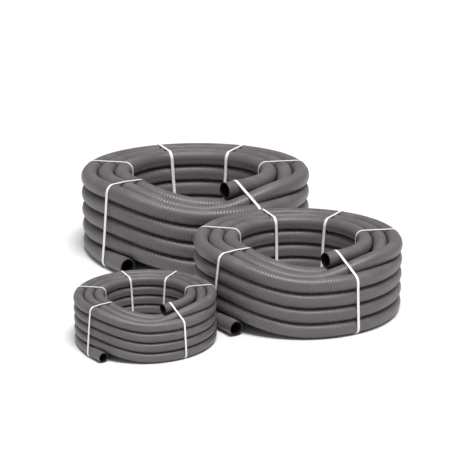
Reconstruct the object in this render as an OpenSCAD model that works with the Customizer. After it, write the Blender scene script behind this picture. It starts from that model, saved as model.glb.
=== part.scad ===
// Hose kit: three coils of spiral-reinforced drain hose, each bound with six straps.
// Every coil is three hoses wide. It is five hoses high at its sides and back, and
// four hoses high at its front, where each turn climbs one row on its way round.
// +Z is up and -Y is the front. The origin is the centre of the kit's base.
// Angles run anticlockwise from +X, seen from above, about each coil's own centre.

/* [Large coil] */
// Outer diameter of the large hose
large_od = 63; // [60:1:65]
// Bore of the large hose
large_bore = 55; // [50:1:56]
// Place of the large coil, left or right of the medium one
large_x = -364; // [-400:1:-340]
// Place of the large coil, behind the medium one
large_y = 711; // [700:1:800]
// Turn of the large coil about its own centre
large_turn = 0.2; // [-5:0.1:5]

/* [Medium coil] */
// Outer diameter of the medium hose
medium_od = 50; // [46:1:50]
// Bore of the medium hose
medium_bore = 43; // [38:1:44]
// Turn of the medium coil about its own centre
medium_turn = -3.3; // [-5:0.1:5]

/* [Small coil] */
// Outer diameter of the small hose
small_od = 32; // [28:1:32]
// Bore of the small hose
small_bore = 27; // [22:1:28]
// Place of the small coil, left or right of the medium one
small_x = -492; // [-560:1:-485]
// Place of the small coil, in front of the medium one
small_y = -323; // [-360:1:-320]
// Turn of the small coil about its own centre
small_turn = 1.9; // [-5:0.1:5]

/* [Winding] */
// Radius of the innermost turn's centreline, in hose diameters
inner_turn = 4.5; // [4:0.1:5]

/* [Straps] */
// Width of a strap, in hose diameters
strap_width = 0.19; // [0.12:0.01:0.2]
// Thickness of a strap
strap_t = 0.8; // [0.6:0.1:1]
// Slack between a strap and the hose
strap_slack = 0.2; // [0.1:0.1:0.3]

/* [Hidden] */
COLUMNS = 3;
LOW_ROWS = 4;

// A coil has its fifth row from FULL_START round to CLIMB_END. From there to
// CLIMB_START, at the front left, every turn climbs from one row to the next.
FULL_START = 340;
CLIMB_END = 216;
CLIMB_START = 280;

// Steps of the swept shape, in degrees, and steps of each rounded corner
STATION_STEP = 4;
EDGE = 0.01;
CORNER_STEPS = 3;

// The outer end leaves the outermost turn on a wider arc, whose centre lies this
// far from the coil's centre, in hose diameters, and then runs straight to its mouth
TAIL_OFFSET = 4.5;
TAIL_LEAVES = 195;
TAIL_ARC = [217, 207.6];
TAIL_STRAIGHT = 1.1;

// The inner end lies on the innermost turn at the front. Each arc runs from its
// straight stretch back to the coil
LIP_ARC = [306, 340];
LIP_STRAIGHT = 1.05;

STRAP_ANGLES = [12, 64, 112, 168, 224, 304];

// Two straps hold the hose's ends down as well. In hose diameters: how far beyond the
// outermost turn the outer end lies under its strap, and the room that the slant of the
// inner end takes on each side
TAIL_STRAP = 4;
TAIL_HELD = 0.385;
LIP_STRAP = 5;
LIP_ROOM = 0.024;

SIZES = ["large", "medium", "small"];
OD = [large_od, medium_od, small_od];
BORE = [large_bore, medium_bore, small_bore];
TURN = [large_turn, medium_turn, small_turn];
PLACE = [[large_x, large_y], [0, 0], [small_x, small_y]];

HOSE_GREY = [0.36, 0.34, 0.35];
END_GREY = [0.30, 0.28, 0.29];
STRAP_WHITE = [0.93, 0.93, 0.92];

$fn = 64;

// Outer radius of a coil
function reach(i) = (inner_turn + COLUMNS - 0.5) * OD[i];

// Centre of the kit in plan, halfway between the outermost coils on each side
function side(axis, sign) = sign * max([for (i = [0 : 2]) sign * PLACE[i][axis] + reach(i)]);
CENTRE = [(side(0, -1) + side(0, 1)) / 2, (side(1, -1) + side(1, 1)) / 2];

// Centreline radius of a column, and centreline height of a row, in one coil
function column_r(i, column) = (inner_turn + column) * OD[i];
function row_z(i, row) = strap_t + strap_slack + (row + 0.5) * OD[i];

// Top row of a coil at an angle: a whole number, or between two in the climb
function climbing(angle) = angle > CLIMB_END && angle < CLIMB_START;
function ease(t) = t * t * (3 - 2 * t);
function top_row(angle) =
    climbing(angle)
    ? LOW_ROWS - 1 + ease((CLIMB_START - angle) / (CLIMB_START - CLIMB_END))
    : angle < CLIMB_END || angle > FULL_START ? LOW_ROWS : LOW_ROWS - 1;

// Half the angle that a strap takes up on the inside of a coil
function half_strap() = strap_width / 2 / (inner_turn - 0.5) * 180 / PI;

// Puts one coil's pieces in its place in the kit
module placed(i) {
    translate([PLACE[i][0] - CENTRE[0], PLACE[i][1] - CENTRE[1], 0])
        rotate([0, 0, TURN[i]])
            children();
}

module sector(from, to) {
    rotate([0, 0, from])
        rotate_extrude(angle = to - from)
            children();
}

// One corner of a coil's section: a quarter of a circle about a hose's centre
function corner(i, centre, start) =
    [for (k = [0 : CORNER_STEPS])
        let (turn = start + 90 * k / CORNER_STEPS)
            centre + OD[i] / 2 * [cos(turn), sin(turn)]];

// Section of a coil at one angle, as points of radius and height. The bottom turn of
// the outermost column is left out where the coil climbs.
function section(i, angle) =
    let (first = column_r(i, 0), last = column_r(i, COLUMNS - 1))
    concat(
        corner(i, [last, row_z(i, top_row(angle))], 0),
        corner(i, [first, row_z(i, top_row(angle))], 90),
        corner(i, [first, row_z(i, 0)], 180),
        corner(i, [last, row_z(i, climbing(angle) ? top_row(angle) - LOW_ROWS + 1 : 0)], 270));

// Angles of a coil's sections, doubled where a row begins or ends
STATIONS = [for (angle = [0 : STATION_STEP : 359])
    each angle == CLIMB_END || angle == FULL_START ? [angle - EDGE, angle + EDGE] : [angle]];

// Outer shape of a whole coil, without its two ends: its section carried round it
module hose_coil(i) {
    count = len(STATIONS);
    side_count = 4 * (CORNER_STEPS + 1);
    points = [for (angle = STATIONS, p = section(i, angle))
        [p[0] * cos(angle), p[0] * sin(angle), p[1]]];
    faces = [for (n = [0 : count - 1], k = [0 : side_count - 1])
        let (here = n * side_count, next = (n + 1) % count * side_count,
             k2 = (k + 1) % side_count)
            each [[here + k, next + k, next + k2], [here + k, next + k2, here + k2]]];
    color(HOSE_GREY) placed(i) polyhedron(points, faces);
}

// Section through the wall of a hose
module hose_wall(i) {
    difference() {
        circle(d = OD[i]);
        circle(d = BORE[i]);
    }
}

// A hose end: a bend of the given radius and a straight stretch with an open mouth.
// The arc is given from the straight stretch back to the coil.
module hose_end(i, radius, arc, straight) {
    way = sign(arc[0] - arc[1]);
    sector(arc[0], arc[1])
        translate([radius, 0])
            hose_wall(i);
    rotate([0, 0, arc[0]])
        translate([radius, 0, 0])
            rotate([-90 * way, 0, 0])
                linear_extrude(straight) hose_wall(i);
}

module hose_outer_end(i) {
    radius = column_r(i, COLUMNS - 1) + TAIL_OFFSET * OD[i];
    color(END_GREY) placed(i)
        rotate([0, 0, TAIL_LEAVES - 180])
            translate([TAIL_OFFSET * OD[i], 0, row_z(i, 0)])
                rotate([0, 0, 180 - TAIL_LEAVES])
                    hose_end(i, radius, TAIL_ARC, TAIL_STRAIGHT * OD[i]);
}

module hose_inner_end(i) {
    color(END_GREY) placed(i)
        translate([0, 0, row_z(i, LOW_ROWS)])
            hose_end(i, column_r(i, 0), LIP_ARC, LIP_STRAIGHT * OD[i]);
}

// Outline round a stack of hoses, up to its top row, with the given gap to them
module band_outline(i, top_row, grow) {
    low = [column_r(i, 0), row_z(i, 0)];
    high = [column_r(i, COLUMNS - 1), row_z(i, top_row)];
    r = OD[i] / 2 + grow;
    for (x = [low[0], high[0]], z = [low[1], high[1]])
        translate([x, z]) circle(r = r);
    translate([low[0] - r, low[1]]) square([high[0] - low[0] + 2 * r, high[1] - low[1]]);
    translate([low[0], low[1] - r]) square([high[0] - low[0], high[1] - low[1] + 2 * r]);
}

// Outline of one strap, with the hose ends that two of them hold down. The ends cross
// the straps at a slant, so they take more room there than a hose's own circle.
module strap_outline(i, s, grow) {
    if (s == TAIL_STRAP) {
        hull() {
            band_outline(i, top_row(STRAP_ANGLES[s] - half_strap()), grow, $fn = 32);
            translate([column_r(i, COLUMNS - 1) + TAIL_HELD * OD[i], row_z(i, 0)])
                circle(r = OD[i] / 2 + grow, $fn = 32);
        }
    } else if (s == LIP_STRAP) {
        hull() {
            band_outline(i, LOW_ROWS - 1, grow, $fn = 32);
            for (room = [-LIP_ROOM, LIP_ROOM])
                translate([column_r(i, 0) + room * OD[i], row_z(i, LOW_ROWS)])
                    circle(r = OD[i] / 2 + grow, $fn = 32);
        }
    } else {
        band_outline(i, LOW_ROWS, grow);
    }
}

module strap(i, s) {
    width = strap_width * OD[i];
    color(STRAP_WHITE) placed(i)
        rotate([0, 0, STRAP_ANGLES[s]])
            translate([0, width / 2, 0])
                rotate([90, 0, 0])
                    linear_extrude(width)
                        difference() {
                            strap_outline(i, s, strap_slack + strap_t);
                            strap_outline(i, s, strap_slack);
                        }
}

for (i = [0 : 2]) {
    hose_coil(i);
    hose_outer_end(i);
    hose_inner_end(i);
    for (s = [0 : len(STRAP_ANGLES) - 1])
        strap(i, s);
}
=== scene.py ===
"""Looks of a drain hose kit: three coils of spiral-ribbed grey hose, each bound with straps.

Every coil is one hose, wound from an open outer end on the floor to an open inner end on top,
and held by six white plastic bands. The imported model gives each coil's place and hose size.
The winding is worked out once, in hose diameters, and scaled to each coil.

Angles are in degrees, anticlockwise from +X seen from above, in a coil's own frame. The hose
runs clockwise from its outer end, so its angle falls all the way.
"""

from __future__ import annotations

import logging
import math
from dataclasses import dataclass, field
from enum import Enum

import bpy
import numpy as np
from mathutils import Euler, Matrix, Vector

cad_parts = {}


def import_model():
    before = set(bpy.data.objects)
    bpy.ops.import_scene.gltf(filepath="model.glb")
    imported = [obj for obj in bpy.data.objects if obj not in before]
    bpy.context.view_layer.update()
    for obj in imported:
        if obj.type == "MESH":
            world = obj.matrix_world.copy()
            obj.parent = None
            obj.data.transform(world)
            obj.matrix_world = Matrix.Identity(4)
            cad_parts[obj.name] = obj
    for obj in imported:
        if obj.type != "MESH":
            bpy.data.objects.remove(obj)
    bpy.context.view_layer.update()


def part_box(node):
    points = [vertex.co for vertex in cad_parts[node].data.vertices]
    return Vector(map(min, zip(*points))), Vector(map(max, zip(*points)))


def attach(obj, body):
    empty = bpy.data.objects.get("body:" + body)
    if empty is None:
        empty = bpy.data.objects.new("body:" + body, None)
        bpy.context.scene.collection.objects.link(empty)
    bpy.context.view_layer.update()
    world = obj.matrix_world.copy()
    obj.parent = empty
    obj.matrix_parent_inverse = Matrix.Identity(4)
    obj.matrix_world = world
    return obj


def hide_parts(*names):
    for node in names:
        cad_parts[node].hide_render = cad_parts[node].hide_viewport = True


log = logging.getLogger("hose_kit")

MM = 0.001
TURN = 360.0
# Degrees either side of a strap's own angle where it rests on the hoses too, about half its width
EDGE_ANGLE = 1.0
# Degrees from one point of a winding to the next
ANGLE_STEP = 0.25
# Each coil's size, turn about its own centre, and bore as a share of the outer diameter
KIT = (("large", 0.2, 55 / 63), ("medium", -3.3, 43 / 50), ("small", 1.9, 27 / 32))
# Most of a noise node's values lie between these two
NOISE_SPREAD = (0.3, 0.7)
RIB_MAP = "rib_map"
BAND_MAP = "band_map"


class Slot(Enum):
    """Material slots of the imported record."""

    HOSE = "hose"
    STRAP = "strap"


class Ease(Enum):
    """How a hose changes its row or column between two angles."""

    SHIFT = "shift"
    ROLL = "roll"


# ---------------------------------------------------------------- helpers


def smooth(t: np.ndarray) -> np.ndarray:
    """Half a cosine wave from 0 to 1: (1 - cos(pi t)) / 2, with t held between 0 and 1.

    Args:
        t: Any array.

    Returns:
        The eased array.
    """
    return (1.0 - np.cos(np.pi * np.clip(t, 0.0, 1.0))) / 2.0


def unit(vectors: np.ndarray) -> np.ndarray:
    """Scales each vector of the last axis to length 1.

    Args:
        vectors: Array of vectors.

    Returns:
        The same directions at length 1.
    """
    return vectors / np.linalg.norm(vectors, axis=-1, keepdims=True)


def lengths_along(line: np.ndarray) -> np.ndarray:
    """Running length along a line of points, from 0 at its first point.

    Args:
        line: Points, one to a row.

    Returns:
        One length for each point.
    """
    steps = np.linalg.norm(np.diff(line, axis=0), axis=1)
    return np.concatenate([[0.0], np.cumsum(steps)])


def at_lengths(line: np.ndarray, wanted: np.ndarray, values: np.ndarray | None = None) -> np.ndarray:
    """Points at given running lengths along a line, by straight interpolation.

    Args:
        line: Points, one to a row.
        wanted: Running lengths, of any shape.
        values: What to interpolate in place of the points, one row for each of them.

    Returns:
        Points or values, with one more axis than wanted.
    """
    known = lengths_along(line)
    rows = line if values is None else values
    return np.stack([np.interp(wanted, known, rows[:, k]) for k in range(rows.shape[1])], axis=-1)


def welded(quads: np.ndarray) -> tuple[np.ndarray, np.ndarray]:
    """Sorts quads whose corners may coincide into true quads and triangles.

    A quad with two equal corners side by side is a triangle, and one with two such pairs is
    nothing.

    Args:
        quads: Vertex indices, four to a row.

    Returns:
        For each face kept, which row of quads it came from, and a mask of the corners kept.
    """
    keep = quads != np.roll(quads, 1, axis=1)
    rows = np.flatnonzero(keep.sum(axis=1) >= 3)
    return rows, keep[rows]


def mesh_piece(
    name: str,
    vertices: np.ndarray,
    quads: np.ndarray,
    uv: np.ndarray,
    uv_name: str,
    slots: np.ndarray | None = None,
    sharp_angle: float = 40.0,
) -> bpy.types.Object:
    """Makes a smooth-shaded piece out of quads, some of which may have shrunk to triangles.

    Args:
        name: Name of the piece.
        vertices: Points in metres, one to a row.
        quads: Vertex indices, four to a row, seen anticlockwise from outside.
        uv: A pair of pattern coordinates for each corner of each quad.
        uv_name: Name of the UV map that holds them.
        slots: Material index of each quad, or None where there is one material.
        sharp_angle: Edges that turn more than this many degrees stay sharp.

    Returns:
        The object, linked to the scene at the origin.
    """
    rows, keep = welded(quads)
    corners = quads[rows][keep]
    used, corners = np.unique(corners, return_inverse=True)
    counts = keep.sum(axis=1)
    mesh = bpy.data.meshes.new(name)
    mesh.vertices.add(len(used))
    mesh.vertices.foreach_set("co", vertices[used].astype(np.float32).ravel())
    mesh.loops.add(len(corners))
    mesh.loops.foreach_set("vertex_index", corners.astype(np.int32).ravel())
    mesh.polygons.add(len(rows))
    starts = np.concatenate([[0], np.cumsum(counts)[:-1]])
    mesh.polygons.foreach_set("loop_start", starts.astype(np.int32))
    if slots is not None:
        mesh.polygons.foreach_set("material_index", slots[rows].astype(np.int32))
    layer = mesh.uv_layers.new(name=uv_name)
    layer.data.foreach_set("uv", uv[rows][keep].astype(np.float32).ravel())
    mesh.update(calc_edges=True)
    mesh.polygons.foreach_set("use_smooth", np.ones(len(rows), dtype=bool))
    mesh.set_sharp_from_angle(angle=math.radians(sharp_angle))
    piece = bpy.data.objects.new(name, mesh)
    bpy.context.scene.collection.objects.link(piece)
    return piece


# ---------------------------------------------------------------- finishes


class Shader:
    """A material's node tree, with short calls that add and join nodes."""

    def __init__(self, name: str) -> None:
        """Starts an empty material with a Principled shader.

        Args:
            name: Name of the material.
        """
        self.material = bpy.data.materials.new(name)
        self.material.use_nodes = True
        self.tree = self.material.node_tree
        self.tree.nodes.clear()
        self.surface = self.tree.nodes.new("ShaderNodeBsdfPrincipled")
        output = self.tree.nodes.new("ShaderNodeOutputMaterial")
        self.tree.links.new(self.surface.outputs["BSDF"], output.inputs["Surface"])

    def feed(self, socket: bpy.types.NodeSocket, value: object) -> None:
        """Joins a socket to another node's output, or sets it to a plain value.

        Args:
            socket: Input to fill.
            value: An output socket, a number, or a tuple.
        """
        if isinstance(value, bpy.types.NodeSocket):
            self.tree.links.new(value, socket)
        elif isinstance(value, tuple) and len(value) == 3 and socket.type == "RGBA":
            socket.default_value = (*value, 1.0)
        else:
            socket.default_value = value

    def set(self, **values: object) -> None:
        """Fills inputs of the Principled shader; underscores in a name stand for spaces."""
        for name, value in values.items():
            self.feed(self.surface.inputs[name.replace("_", " ")], value)

    def math(self, operation: str, *values: object, clamp: bool = False) -> bpy.types.NodeSocket:
        """Adds a Math node.

        Args:
            operation: Its operation.
            values: Its inputs in order.
            clamp: Whether it holds its result between 0 and 1.

        Returns:
            Its result.
        """
        node = self.tree.nodes.new("ShaderNodeMath")
        node.operation = operation
        node.use_clamp = clamp
        for socket, value in zip(node.inputs, values):
            self.feed(socket, value)
        return node.outputs[0]

    def blend(self, factor: object, first: object, second: object) -> bpy.types.NodeSocket:
        """Adds a colour Mix node: first where factor is 0, second where it is 1.

        Args:
            factor: Share of the second colour.
            first: A colour or an output.
            second: A colour or an output.

        Returns:
            The mixed colour.
        """
        node = self.tree.nodes.new("ShaderNodeMix")
        node.data_type = "RGBA"
        self.feed(node.inputs["Factor"], factor)
        self.feed(node.inputs[6], first)
        self.feed(node.inputs[7], second)
        return node.outputs[2]

    def scaled(
        self, value: object, low: float, high: float, to_low: float, to_high: float
    ) -> bpy.types.NodeSocket:
        """Adds a Map Range node, held to its ends.

        Args:
            value: Input.
            low: Input that gives to_low.
            high: Input that gives to_high.
            to_low: Result at the low end.
            to_high: Result at the high end.

        Returns:
            The mapped value.
        """
        node = self.tree.nodes.new("ShaderNodeMapRange")
        for socket, given in zip(node.inputs, (value, low, high, to_low, to_high)):
            self.feed(socket, given)
        return node.outputs[0]

    def noise(self, scale: float, detail: float = 3.0, stretch: tuple[float, float, float] = (1, 1, 1),
              source: object = None) -> bpy.types.NodeSocket:
        """Adds a Noise node on the piece's own object coordinates, or on another vector.

        Args:
            scale: Its scale, in periods to a metre on object coordinates.
            detail: Its number of octaves.
            stretch: How much finer it is along each axis.
            source: The vector, where it isn't the object's coordinates.

        Returns:
            The noise, about 0.5 on average.
        """
        if source is None:
            source = self.tree.nodes.new("ShaderNodeTexCoord").outputs["Object"]
        mapping = self.tree.nodes.new("ShaderNodeMapping")
        mapping.inputs["Scale"].default_value = stretch
        self.tree.links.new(source, mapping.inputs["Vector"])
        node = self.tree.nodes.new("ShaderNodeTexNoise")
        self.tree.links.new(mapping.outputs["Vector"], node.inputs["Vector"])
        node.inputs["Scale"].default_value = scale
        node.inputs["Detail"].default_value = detail
        return node.outputs["Fac"]

    def uv(self, name: str) -> tuple[bpy.types.NodeSocket, bpy.types.NodeSocket, bpy.types.NodeSocket]:
        """Reads a UV map.

        Args:
            name: Name of the map.

        Returns:
            The vector, its first and its second coordinate.
        """
        node = self.tree.nodes.new("ShaderNodeUVMap")
        node.uv_map = name
        split = self.tree.nodes.new("ShaderNodeSeparateXYZ")
        self.tree.links.new(node.outputs["UV"], split.inputs[0])
        return node.outputs["UV"], split.outputs[0], split.outputs[1]

    def crest(self, ribs: bpy.types.NodeSocket) -> bpy.types.NodeSocket:
        """Turns a rib count into a wave: 1 on each rib and 0 midway between two.

        Args:
            ribs: Number of ribs passed, whole on a rib.

        Returns:
            Half of 1 + cos(2 pi ribs).
        """
        wave = self.math("COSINE", self.math("MULTIPLY", self.math("FRACT", ribs), 2 * math.pi))
        return self.math("MULTIPLY_ADD", wave, 0.5, 0.5)

    def bump(self, height: object, distance: float, strength: float = 1.0) -> None:
        """Gives the surface a bump.

        Args:
            height: Height, from 0 to 1.
            distance: Depth of the relief in metres.
            strength: Share of it that shows.
        """
        node = self.tree.nodes.new("ShaderNodeBump")
        self.feed(node.inputs["Height"], height)
        node.inputs["Distance"].default_value = distance
        node.inputs["Strength"].default_value = strength
        self.tree.links.new(node.outputs["Normal"], self.surface.inputs["Normal"])


@dataclass(frozen=True)
class HosePlastic:
    """Flexible grey plastic with a hard spiral rib, a little dusty and scuffed from storage."""

    web: tuple[float, float, float] = (0.115, 0.101, 0.102)
    rib: tuple[float, float, float] = (0.130, 0.114, 0.115)
    dust: tuple[float, float, float] = (0.32, 0.30, 0.29)
    roughness: tuple[float, float] = (0.31, 0.46)
    rib_height: float = 0.0007
    crest_power: float = 1.6
    cloud_scale: float = 5.5
    cloud_shade: tuple[float, float] = (0.90, 1.08)
    streak_stretch: tuple[float, float, float] = (7.0, 0.035, 1.0)
    streak_shade: tuple[float, float] = (-0.07, 0.07)
    grain_scale: float = 1400.0
    patch_scale: float = 16.0
    dust_share: float = 0.22
    scuff_stretch: tuple[float, float, float] = (26.0, 0.9, 1.0)
    scuff_share: float = 0.35
    specular: float = 0.50

    def material(self, name: str, scale: float) -> bpy.types.Material:
        """Makes the material for one hose.

        The second UV coordinate counts ribs, so its cosine rises on each rib. The colour goes
        from web to rib with that crest, varies slowly along the hose, and is paler where dust
        lies on what faces up and where a rib is scuffed.

        Args:
            name: Name of the material.
            scale: Size of the hose against the largest one.

        Returns:
            The material.
        """
        s = Shader(name)
        vector, _, ribs = s.uv(RIB_MAP)
        crest = s.crest(ribs)
        sharp_crest = s.math("POWER", crest, self.crest_power)
        cloud = s.noise(self.cloud_scale / scale, 4.0)
        streak = s.noise(1.0, 2.0, self.streak_stretch, vector)
        grain = s.noise(self.grain_scale, 2.0)
        colour = s.blend(sharp_crest, self.web, self.rib)
        shade = s.math("ADD", s.scaled(cloud, *NOISE_SPREAD, *self.cloud_shade),
                       s.scaled(streak, *NOISE_SPREAD, *self.streak_shade))
        tint = s.tree.nodes.new("ShaderNodeHueSaturation")
        s.feed(tint.inputs["Value"], shade)
        s.feed(tint.inputs["Color"], colour)
        facing = s.tree.nodes.new("ShaderNodeSeparateXYZ")
        s.tree.links.new(s.tree.nodes.new("ShaderNodeNewGeometry").outputs["Normal"], facing.inputs[0])
        upward = s.scaled(facing.outputs[2], 0.1, 0.95, 0.0, 1.0)
        patches = s.scaled(s.noise(self.patch_scale / scale, 6.0), 0.44, 0.70, 0.15, 1.0)
        dusty = s.math("MULTIPLY", s.math("MULTIPLY", upward, patches), self.dust_share)
        scuff = s.scaled(s.noise(1.0, 5.0, self.scuff_stretch, vector), 0.64, 0.72, 0.0, self.scuff_share)
        rubbed = s.math("MULTIPLY", scuff, sharp_crest)
        s.set(Base_Color=s.blend(rubbed, s.blend(dusty, tint.outputs[0], self.dust), self.dust))
        rough = s.scaled(cloud, *NOISE_SPREAD, *self.roughness)
        s.set(Roughness=s.math("ADD", rough, s.math("MULTIPLY", dusty, 0.8), clamp=True))
        s.set(Specular_IOR_Level=self.specular)
        height = s.math("ADD", s.math("MULTIPLY", crest, 0.9), s.math("MULTIPLY", grain, 0.08))
        s.bump(height, self.rib_height * scale)
        return s.material


@dataclass(frozen=True)
class BorePaintedShade:
    """Smooth inside of a hose, painted near black as the shade in it, with faint bands where the rib lies
    in the wall.
    """

    # Painted shade: these near-black colours stand in for the shade down the hose, and also darken the rims
    # at both mouths.
    web: tuple[float, float, float] = (0.012, 0.011, 0.011)
    band: tuple[float, float, float] = (0.022, 0.020, 0.020)
    roughness: float = 0.38
    rib_height: float = 0.0003

    def material(self, name: str) -> bpy.types.Material:
        """Makes the material: a cosine of the rib count sets the colour and a faint bump.

        Args:
            name: Name of the material.

        Returns:
            The material.
        """
        s = Shader(name)
        _, _, ribs = s.uv(RIB_MAP)
        crest = s.crest(ribs)
        s.set(Base_Color=s.blend(crest, self.web, self.band), Roughness=self.roughness)
        s.bump(crest, self.rib_height)
        return s.material


@dataclass(frozen=True)
class StrapPlastic:
    """White packing strap with an embossed diamond pattern, a little grime, and painted shade in the
    pattern's hollows.
    """

    white: tuple[float, float, float] = (0.92, 0.92, 0.91)
    # Colour of the grime, and of the painted shade in the pattern's hollows
    grime_and_shade: tuple[float, float, float] = (0.60, 0.59, 0.57)
    roughness: tuple[float, float] = (0.30, 0.48)
    diamond: float = 0.0022
    relief: float = 0.00025
    cloud_scale: float = 38.0
    dirt_share: float = 0.30
    hollow_shade_share: float = 0.16
    specular: float = 0.5

    def material(self, name: str) -> bpy.types.Material:
        """Makes the material.

        The map's two coordinates are metres across and along the band. The pattern is the
        product of two sine waves that run at 45 degrees to the band, one each way.

        Args:
            name: Name of the material.

        Returns:
            The material.
        """
        s = Shader(name)
        _, across, along = s.uv(BAND_MAP)
        turn = math.pi / self.diamond
        one = s.math("SINE", s.math("MULTIPLY", s.math("ADD", across, along), turn))
        other = s.math("SINE", s.math("MULTIPLY", s.math("SUBTRACT", across, along), turn))
        relief = s.math("MULTIPLY_ADD", s.math("MULTIPLY", one, other), 0.5, 0.5)
        cloud = s.noise(self.cloud_scale, 4.0)
        dirt = s.scaled(cloud, 0.46, 0.78, 0.0, self.dirt_share)
        # Painted shade: the pattern's hollows are darkened towards the grime colour.
        hollow = s.scaled(relief, 0.0, 0.35, self.hollow_shade_share, 0.0)
        s.set(Base_Color=s.blend(s.math("ADD", dirt, hollow), self.white, self.grime_and_shade))
        s.set(Roughness=s.scaled(cloud, *NOISE_SPREAD, *self.roughness), Specular_IOR_Level=self.specular)
        s.bump(relief, self.relief)
        return s.material


@dataclass(frozen=True)
class FloorPaint:
    """Matt near-white studio floor."""

    colour: tuple[float, float, float] = (0.88, 0.88, 0.88)
    cloud: tuple[float, float, float] = (0.85, 0.85, 0.85)
    cloud_share: float = 0.03
    roughness: float = 0.85
    specular: float = 0.15

    def material(self, name: str) -> bpy.types.Material:
        """Makes the material, with a very slow change of tone.

        Args:
            name: Name of the material.

        Returns:
            The material.
        """
        s = Shader(name)
        tone = s.scaled(s.noise(0.7, 2.0), *NOISE_SPREAD, 0.0, self.cloud_share)
        s.set(Base_Color=s.blend(tone, self.colour, self.cloud), Roughness=self.roughness)
        s.set(Specular_IOR_Level=self.specular)
        return s.material


# ---------------------------------------------------------------- the winding


@dataclass(frozen=True)
class Move:
    """One change of column or row while the hose turns from one angle to another.

    Angles are counted in the turn that the move belongs to: turn k covers angles from
    about 216 down to -144, less 360 k.
    """

    turn: int
    start: float
    end: float
    inward: float = 0.0
    up: float = 0.0
    ease: Ease = Ease.SHIFT

    def offsets(self, angle: np.ndarray) -> tuple[np.ndarray, np.ndarray]:
        """Change of radius and height at each angle.

        A shift goes from 0 to its full amount on half a cosine wave. A roll goes a quarter
        of the way round the hose below it: the sine inward and one less the cosine down.

        Args:
            angle: Falling angles of the whole winding.

        Returns:
            Radius and height to add, in hose diameters.
        """
        share = smooth((self.start - TURN * self.turn - angle) / (self.start - self.end))
        if self.ease is Ease.ROLL:
            quarter = share * np.pi / 2
            return -np.sin(quarter), np.cos(quarter) - 1.0
        return -self.inward * share, self.up * share


@dataclass(frozen=True)
class Winding:
    """How a hose is wound, in hose diameters.

    The outer column is wound upwards, its top turn rolls down into the middle column, which is
    wound downwards, and the inner column is wound upwards again, to the inner end on top.
    """

    inner_turn: float = 4.5
    columns: int = 3
    rows: int = 5
    turns: int = 13
    # The outer end: a wider arc whose centre is off the coil's, then a straight stretch
    tail_offset: float = 4.5
    tail_from: float = 217.0
    tail_to: float = 195.0
    tail_straight: float = 1.1
    # The inner end leaves the innermost turn straight
    lip_at: float = 306.0
    lip_straight: float = 1.05
    # Every turn climbs at the front left, the inner ones over a longer way
    climb: tuple[float, float] = (-80.0, -144.0)
    long_climb: tuple[float, float] = (-68.0, -156.0)
    step_in: tuple[float, float] = (-95.0, -180.0)
    # At the front right the top turn rolls inward and the middle turns go down two rows
    roll: tuple[float, float] = (-10.0, -80.0)
    drop: tuple[float, float] = (12.0, -66.0)
    spacing: float = 0.05

    def moves(self) -> list[Move]:
        """All changes of column and row, in the order in which the hose makes them."""
        outer = range(self.rows - 1)
        middle = range(self.rows, self.rows + 3)
        inner = range(self.rows + 3, self.turns - 1)
        found = [Move(k, *self.climb, up=1.0) for k in outer]
        found += [Move(self.rows - 1, *self.roll, ease=Ease.ROLL), Move(self.rows - 1, *self.climb, up=1.0)]
        found += [Move(k, *self.drop, up=-2.0) for k in middle]
        found += [Move(k, *self.climb, up=1.0) for k in middle[:-1]]
        found += [Move(middle[-1], *self.step_in, inward=1.0)]
        return found + [Move(k, *self.long_climb, up=1.0) for k in inner]

    def centreline(self) -> np.ndarray:
        """Points of the hose's centreline from its outer end to its inner end.

        In the turns a point at an angle has the outer column's radius and row 0, plus all
        moves made so far. The outer end's arc has the outer column's radius plus the offset,
        about a centre that lies that offset away, so the two meet in line.

        Returns:
            Evenly spaced points, with row 0's centreline at height 0.
        """
        last = self.inner_turn + self.columns - 1
        end = self.lip_at - TURN * self.turns
        angle = np.arange(self.tail_to, end, -ANGLE_STEP)
        radius, height = np.full(len(angle), last), np.zeros(len(angle))
        for move in self.moves():
            inward, up = move.offsets(angle)
            radius, height = radius + inward, height + up
        turn = np.radians(angle)
        turns = np.stack([radius * np.cos(turn), radius * np.sin(turn), height], axis=1)

        arc = np.radians(np.arange(self.tail_from, self.tail_to, -ANGLE_STEP))
        off = math.radians(self.tail_to - 180.0)
        tail = np.stack([self.tail_offset * math.cos(off) + (last + self.tail_offset) * np.cos(arc),
                         self.tail_offset * math.sin(off) + (last + self.tail_offset) * np.sin(arc),
                         np.zeros(len(arc))], axis=1)
        onward = np.array([math.sin(arc[0]), -math.cos(arc[0]), 0.0])
        mouth = tail[:1] - self.tail_straight * onward
        leaving = unit(turns[-1] - turns[-2])
        lip = turns[-1:] + self.lip_straight * leaving
        line = np.concatenate([mouth, tail, turns, lip])
        total = lengths_along(line)[-1]
        return at_lengths(line, np.linspace(0.0, total, int(total / self.spacing)))

    def crossings(self, line: np.ndarray, angle: float) -> np.ndarray:
        """Where the hose passes one angle.

        A hose that passes at a slant shows a section that is wider than its circle, by the
        square root of 1 + (change of radius / way round)^2.

        Args:
            line: The centreline.
            angle: The angle, from 0 to 360.

        Returns:
            Radius, height and widening of each pass.
        """
        polar = np.unwrap(np.arctan2(line[:, 1], line[:, 0]))
        radius = np.hypot(line[:, 0], line[:, 1])
        slant = np.gradient(radius) / (radius * np.gradient(polar))
        polar = np.degrees(polar)
        wanted = np.arange(polar[0] - (polar[0] - angle) % TURN, polar[-1], -TURN)
        rising = slice(None, None, -1)
        known = (radius, line[:, 2], np.hypot(1.0, slant))
        return np.stack([np.interp(wanted, polar[rising], values[rising]) for values in known], axis=1)


# ---------------------------------------------------------------- sub-assemblies


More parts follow.
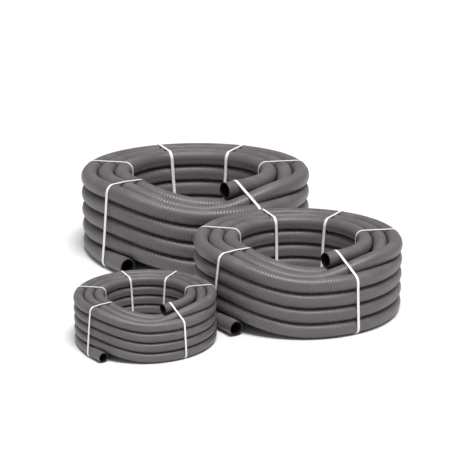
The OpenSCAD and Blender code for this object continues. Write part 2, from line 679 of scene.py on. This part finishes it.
@dataclass
class Hose:
    """One hose of a coil: a tube with a spiral rib, open at both ends and hollow all through."""

    size: str
    body: str
    line: np.ndarray
    diameter: float
    bore: float
    sides: int = 16
    # In hose diameters: from rib to rib, the rib's relief, and from ring to ring of the bore
    rib_pitch: float = 0.18
    rib_relief: float = 0.010
    bore_step: float = 0.6
    # Rows of the skin's grid before the hose's start, and to spare before and after it in all
    rows_before: int = 2
    spare_rows: int = 6
    # Pattern coordinate of the rims, midway between crest and hollow
    rim_pattern: float = 0.25

    def carried(self, s: np.ndarray, around: np.ndarray, radius: np.ndarray) -> np.ndarray:
        """Carries a round section along the centreline.

        A point is the centreline's point at length s, plus radius times the cosine of its
        angle towards the coil's centre and the sine of it upwards, both square to the line.

        Args:
            s: Length along the centreline.
            around: Angle round the section, in turns.
            radius: Distance from the centreline.

        Returns:
            Points.
        """
        along = unit(at_lengths(self.line, s, np.gradient(self.line, axis=0)))
        inward = unit(np.cross(along, [0.0, 0.0, 1.0]))
        upward = np.cross(inward, along)
        turn = 2 * np.pi * around
        centre = at_lengths(self.line, s)
        return centre + radius[..., None] * (np.cos(turn)[..., None] * inward
                                             + np.sin(turn)[..., None] * upward)

    def outside(self, total: float) -> tuple[np.ndarray, np.ndarray, np.ndarray]:
        """Outer skin, on a grid that is sheared so that its rows follow the rib's spiral.

        Row i, column j lies at (i - rows_before) half pitches plus j / sides of a pitch, so a
        row that has gone once round meets the row two further on. Even rows are the crest and odd
        rows the hollow. Rows past an end are held at the end and weld into its rim.

        Args:
            total: Length of the hose.

        Returns:
            Vertices, quads and the pattern coordinates of the quads' corners.
        """
        n, pitch = self.sides, self.rib_pitch * self.diameter
        count = int(math.ceil(2 * total / pitch)) + self.spare_rows
        i, j = np.meshgrid(np.arange(count), np.arange(n), indexing="ij")
        s = (i - self.rows_before) * pitch / 2 + pitch * j / n
        at_start, at_end = s <= 0, s >= total
        relief = self.rib_relief * self.diameter * np.where(at_start | at_end, 0.5, i % 2)
        s = np.clip(s, 0.0, total)
        vertices = self.carried(s, j / n, self.diameter / 2 - relief).reshape(-1, 3)
        index = i * n + j
        index = np.where(at_start, j, np.where(at_end, (count - 1) * n + j, index))
        step = i[:-1]
        row = np.stack([step, step + 1, step + 1, step], axis=-1)
        column = np.stack([j[:-1], j[:-1], j[:-1] + 1, j[:-1] + 1], axis=-1)
        wraps = column == n
        quads = index[np.minimum(row + 2 * wraps, count - 1), np.where(wraps, 0, column)]
        uv = np.stack([column / n, row / 2.0], axis=-1)
        return vertices, quads.reshape(-1, 4), uv.reshape(-1, 4, 2)

    def inside(self, total: float) -> tuple[np.ndarray, np.ndarray, np.ndarray]:
        """Bore, as plain rings along the whole hose, with its faces towards the centreline.

        Args:
            total: Length of the hose.

        Returns:
            Vertices, quads and the pattern coordinates of the quads' corners.
        """
        n = self.sides
        count = int(total / (self.bore_step * self.diameter))
        i, j = np.meshgrid(np.arange(count + 1), np.arange(n), indexing="ij")
        s = i * total / count
        vertices = self.carried(s, j / n, np.full(s.shape, self.bore / 2)).reshape(-1, 3)
        i, j = i[:-1], j[:-1]
        row = np.stack([i, i, i + 1, i + 1], axis=-1)
        column = np.stack([j, j + 1, j + 1, j], axis=-1)
        ribs = row * total / count / (self.rib_pitch * self.diameter) - column / n
        quads = row * n + column % n
        return vertices, quads.reshape(-1, 4), np.stack([column / n, ribs], axis=-1).reshape(-1, 4, 2)

    def build(self) -> bpy.types.Object:
        """Joins skin, bore and the two rims into one closed tube. The rims take the bore's painted shade.

        Returns:
            The hose.
        """
        total = float(lengths_along(self.line)[-1])
        skin, skin_quads, skin_uv = self.outside(total)
        bore, bore_quads, bore_uv = self.inside(total)
        j = np.arange(self.sides)
        after = (j + 1) % self.sides
        far_skin, first_bore = len(skin) - self.sides, len(skin)
        far_bore = first_bore + len(bore) - self.sides
        near_rim = np.stack([j, after, first_bore + after, first_bore + j], axis=1)
        far_rim = np.stack([far_skin + j, far_bore + j, far_bore + after, far_skin + after], axis=1)
        rims = np.concatenate([near_rim, far_rim])
        quads = np.concatenate([skin_quads, bore_quads + first_bore, rims])
        uv = np.concatenate([skin_uv, bore_uv, np.full((len(rims), 4, 2), self.rim_pattern)])
        # Bore and rims take the second material, whose near-black colour is painted shade.
        slots = (np.arange(len(quads)) >= len(skin_quads)).astype(int)
        return mesh_piece(f"{self.size}_hose", np.concatenate([skin, bore]), quads, uv, RIB_MAP, slots)

    def dress(self, piece: bpy.types.Object, scale: float) -> None:
        """Gives the hose its finishes and its place in the model.

        Args:
            piece: The hose.
            scale: Size of the hose against the largest one.
        """
        piece.data.materials.append(HosePlastic().material(f"{self.size}_hose_plastic", scale))
        piece.data.materials.append(BorePaintedShade().material(f"{self.size}_bore_painted_shade"))
        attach(piece, self.body)
        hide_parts(*(f"{self.size}_hose_{part}" for part in ("coil", "outer_end", "inner_end")))

    def declare(self, piece: bpy.types.Object) -> float:
        """Args:
            piece: The hose. Not used.

        Returns:
            Its length in metres.
        """
        total = float(lengths_along(self.line)[-1])
        return total


@dataclass
class Strap:
    """One band round a coil's section: flat, thin and taut, with its two ends welded together.

    Width and ripple are in hose diameters, bevel is a share of the thickness, lean is sideways
    per height, and weld_at is a share of the way round the outline.
    """

    name: str
    body: str
    hoses: np.ndarray
    diameter: float
    angle: float
    centre: np.ndarray
    lean: float
    weld_at: float
    width: float = 0.19
    thickness: float = 0.8 * MM
    bevel: float = 0.25
    slack: float = 0.2 * MM
    points: int = 200
    directions: int = 1440
    weld_length: float = 26 * MM
    weld_step: float = 2.5 * MM
    ripple: float = 0.03

    def outline(self) -> tuple[np.ndarray, np.ndarray, float]:
        """Taut closed curve round the section's hoses, each an ellipse as wide as its slant makes it.

        For every direction it takes the hose that reaches furthest that way, and the point
        of that hose's outline there. Between two hoses the curve runs straight. An ellipse
        with half axes a and b reaches sqrt((a x)^2 + (b y)^2) in the direction (x, y), at
        the point (a^2 x, b^2 y) over that reach. The curve starts at its top outer corner and
        runs inward over the top, down the inside, out under the coil and up the outside.

        Returns:
            Evenly spaced points of radius and height, their outward directions and the
            curve's length.
        """
        turn = np.pi / 4 + np.linspace(0.0, 2 * np.pi, self.directions + 1)
        way = np.stack([np.cos(turn), np.sin(turn)], axis=1)
        grown = self.diameter / 2 + self.slack
        axes = np.stack([grown * self.hoses[:, 2], np.full(len(self.hoses), grown)], axis=1)
        reach = np.linalg.norm(way[:, None, :] * axes[None, :, :], axis=2)
        furthest = np.argmax(way @ self.hoses[:, :2].T + reach, axis=1)
        own_reach = np.take_along_axis(reach, furthest[:, None], axis=1)
        curve = self.hoses[furthest, :2] + axes[furthest] ** 2 * way / own_reach
        total = float(lengths_along(curve)[-1])
        spots = at_lengths(curve, np.arange(self.points) * total / self.points)
        ahead = unit(np.roll(spots, -1, axis=0) - np.roll(spots, 1, axis=0))
        return spots, np.stack([ahead[:, 1], -ahead[:, 0]], axis=1), total

    def build(self) -> bpy.types.Object:
        """Carries the band's flat section round the outline.

        The section has eight corners, with its long edges rounded off. Over the weld the
        band is twice as thick and its ends step down to single thickness. The band leans
        by a share of its height, and wanders sideways by a sine wave.

        Returns:
            The strap.
        """
        spots, outward, total = self.outline()
        along = np.arange(self.points) * total / self.points
        from_weld = np.abs((along / total - self.weld_at + 0.5) % 1.0 - 0.5) * total
        layers = 1.0 + smooth((self.weld_length / 2 - from_weld) / self.weld_step + 0.5)
        half, edge = self.width * self.diameter / 2, self.bevel
        across = half * np.array([-1, -1 + edge / 4, 1 - edge / 4, 1, 1, 1 - edge / 4, -1 + edge / 4, -1])
        deep = np.array([edge, 0, 0, edge, 1 - edge, 1, 1, 1 - edge])
        rise = deep[None, :] * self.thickness * layers[:, None]
        flat = spots[:, None, :] + rise[..., None] * outward[:, None, :]
        middle = (spots[:, 1].min() + spots[:, 1].max()) / 2
        ripple = self.ripple * self.diameter * np.sin(4 * np.pi * along / total + self.angle)
        wander = self.lean * (spots[:, 1] - middle) + ripple
        side = across[None, :] + wander[:, None]
        turn = math.radians(self.angle)
        radial = np.array([math.cos(turn), math.sin(turn), 0.0])
        tangent = np.array([-math.sin(turn), math.cos(turn), 0.0])
        vertices = (self.centre + flat[..., :1] * radial + side[..., None] * tangent
                    + flat[..., 1:] * np.array([0.0, 0.0, 1.0]))
        m, n = self.points, len(across)
        i, j = np.meshgrid(np.arange(m), np.arange(n), indexing="ij")
        row = np.stack([i, i, i + 1, i + 1], axis=-1)
        column = np.stack([j, j + 1, j + 1, j], axis=-1)
        quads = (row % m) * n + column % n
        uv = np.stack([across[column % n], row * total / m], axis=-1).reshape(-1, 4, 2)
        return mesh_piece(self.name, vertices.reshape(-1, 3), quads.reshape(-1, 4), uv, BAND_MAP)

    def dress(self, piece: bpy.types.Object, material: bpy.types.Material) -> None:
        """Gives the strap its finish and its place in the model.

        Args:
            piece: The strap.
            material: The straps' material.
        """
        piece.data.materials.append(material)
        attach(piece, self.body)
        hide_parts(self.name)


@dataclass
class Coil:
    """A wound hose with its six straps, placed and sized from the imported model."""

    size: str
    yaw: float
    bore_share: float
    winding: Winding = field(default_factory=Winding)
    strap_angles: tuple[float, ...] = (12.0, 64.0, 112.0, 168.0, 224.0, 304.0)
    strap_leans: tuple[float, ...] = (0.02, -0.05, 0.04, 0.0, 0.03, -0.03)
    strap_welds: tuple[float, ...] = (0.84, 0.82, 0.85, 0.83, 0.36, 0.36)

    def __post_init__(self) -> None:
        """Reads the coil's place and hose size from its CAD node, and lays its centreline."""
        low, high = (np.array(corner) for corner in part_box(f"{self.size}_hose_coil"))
        self.body = f"{self.size}_coil"
        self.diameter = float(high[2] - low[2]) / self.winding.rows
        middle = (low + high) / 2
        self.centre = np.array([middle[0], middle[1], low[2] + self.diameter / 2])
        self.unit_line = self.winding.centreline()
        turn = math.radians(self.yaw)
        spin = np.array([[math.cos(turn), math.sin(turn), 0.0], [-math.sin(turn), math.cos(turn), 0.0],
                         [0.0, 0.0, 1.0]])
        self.line = self.centre + self.diameter * (self.unit_line @ spin)

    def hose(self) -> Hose:
        """The coil's hose, not yet built."""
        return Hose(self.size, self.body, self.line, self.diameter, self.diameter * self.bore_share)

    def straps(self) -> list[Strap]:
        """The coil's straps, not yet built."""
        made = []
        rows = zip(self.strap_angles, self.strap_leans, self.strap_welds)
        scale = np.array([self.diameter, self.diameter, 1.0])
        for number, (angle, lean, weld) in enumerate(rows, start=1):
            edges = (angle - EDGE_ANGLE, angle, angle + EDGE_ANGLE)
            hoses = scale * np.concatenate([self.winding.crossings(self.unit_line, a) for a in edges])
            made.append(Strap(f"{self.size}_strap_{number}", self.body, hoses, self.diameter,
                              angle + self.yaw, self.centre, lean, weld))
        return made


@dataclass
class Studio:
    """Camera, floor and lights."""

    camera_at: tuple[float, float, float] = (0.0168, -4.4062, 1.4553)
    camera_pitch: float = 73.57
    lens: float = 97.7
    sensor: float = 36.0
    sees_to: float = 200.0
    floor_half: float = 60.0
    sky: float = 0.36
    sun: float = 3.1
    sun_spread: float = 26.0
    sun_way: tuple[float, float, float] = (-0.12, 0.32, -1.0)

    def place_camera(self) -> None:
        """Makes the camera and makes it the scene's."""
        data = bpy.data.cameras.new("camera")
        data.lens = self.lens
        data.sensor_width = self.sensor
        data.clip_end = self.sees_to
        camera = bpy.data.objects.new("camera", data)
        camera.location = self.camera_at
        camera.rotation_euler = Euler((math.radians(self.camera_pitch), 0.0, 0.0))
        bpy.context.scene.collection.objects.link(camera)
        bpy.context.scene.camera = camera

    def lay_floor(self) -> None:
        """Makes the floor, a flat square at height 0."""
        h = self.floor_half
        corners = np.array([[-h, -h, 0], [h, -h, 0], [h, h, 0], [-h, h, 0]], dtype=float)
        uv = np.array([[[0, 0], [1, 0], [1, 1], [0, 1]]], dtype=float)
        floor = mesh_piece("floor", corners, np.array([[0, 1, 2, 3]]), uv, "floor_map")
        floor.data.materials.append(FloorPaint().material("floor_paint"))

    def light(self) -> None:
        """Makes an even pale sky and one soft light from above and a little in front."""
        scene = bpy.context.scene
        scene.view_settings.view_transform = "Standard"
        world = bpy.data.worlds.new("studio")
        world.use_nodes = True
        background = world.node_tree.nodes["Background"]
        background.inputs["Color"].default_value = (1.0, 1.0, 1.0, 1.0)
        background.inputs["Strength"].default_value = self.sky
        scene.world = world
        data = bpy.data.lights.new("key", "SUN")
        data.energy = self.sun
        data.angle = math.radians(self.sun_spread)
        key = bpy.data.objects.new("key", data)
        key.rotation_euler = Vector(self.sun_way).to_track_quat("-Z", "Y").to_euler()
        scene.collection.objects.link(key)


def main() -> None:
    """Loads the frame, then makes the camera, the hoses, the straps, the floor and the lights."""
    logging.basicConfig(level=logging.INFO, format="%(name)s: %(message)s")
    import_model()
    studio = Studio()
    studio.place_camera()
    coils = [Coil(size, yaw, bore_share) for size, yaw, bore_share in KIT]
    largest = coils[0].diameter
    for coil in coils:
        hose = coil.hose()
        piece = hose.build()
        hose.dress(piece, coil.diameter / largest)
        total = hose.declare(piece)
        log.info("%s: %.2f m of %.0f mm hose, %d faces", piece.name, total,
                 1000 * coil.diameter, len(piece.data.polygons))
    white = StrapPlastic().material("strap_plastic")
    for coil in coils:
        for strap in coil.straps():
            piece = strap.build()
            strap.dress(piece, white)
            log.info("%s: %d faces", piece.name, len(piece.data.polygons))
    studio.lay_floor()
    studio.light()


if __name__ == "__main__":
    main()
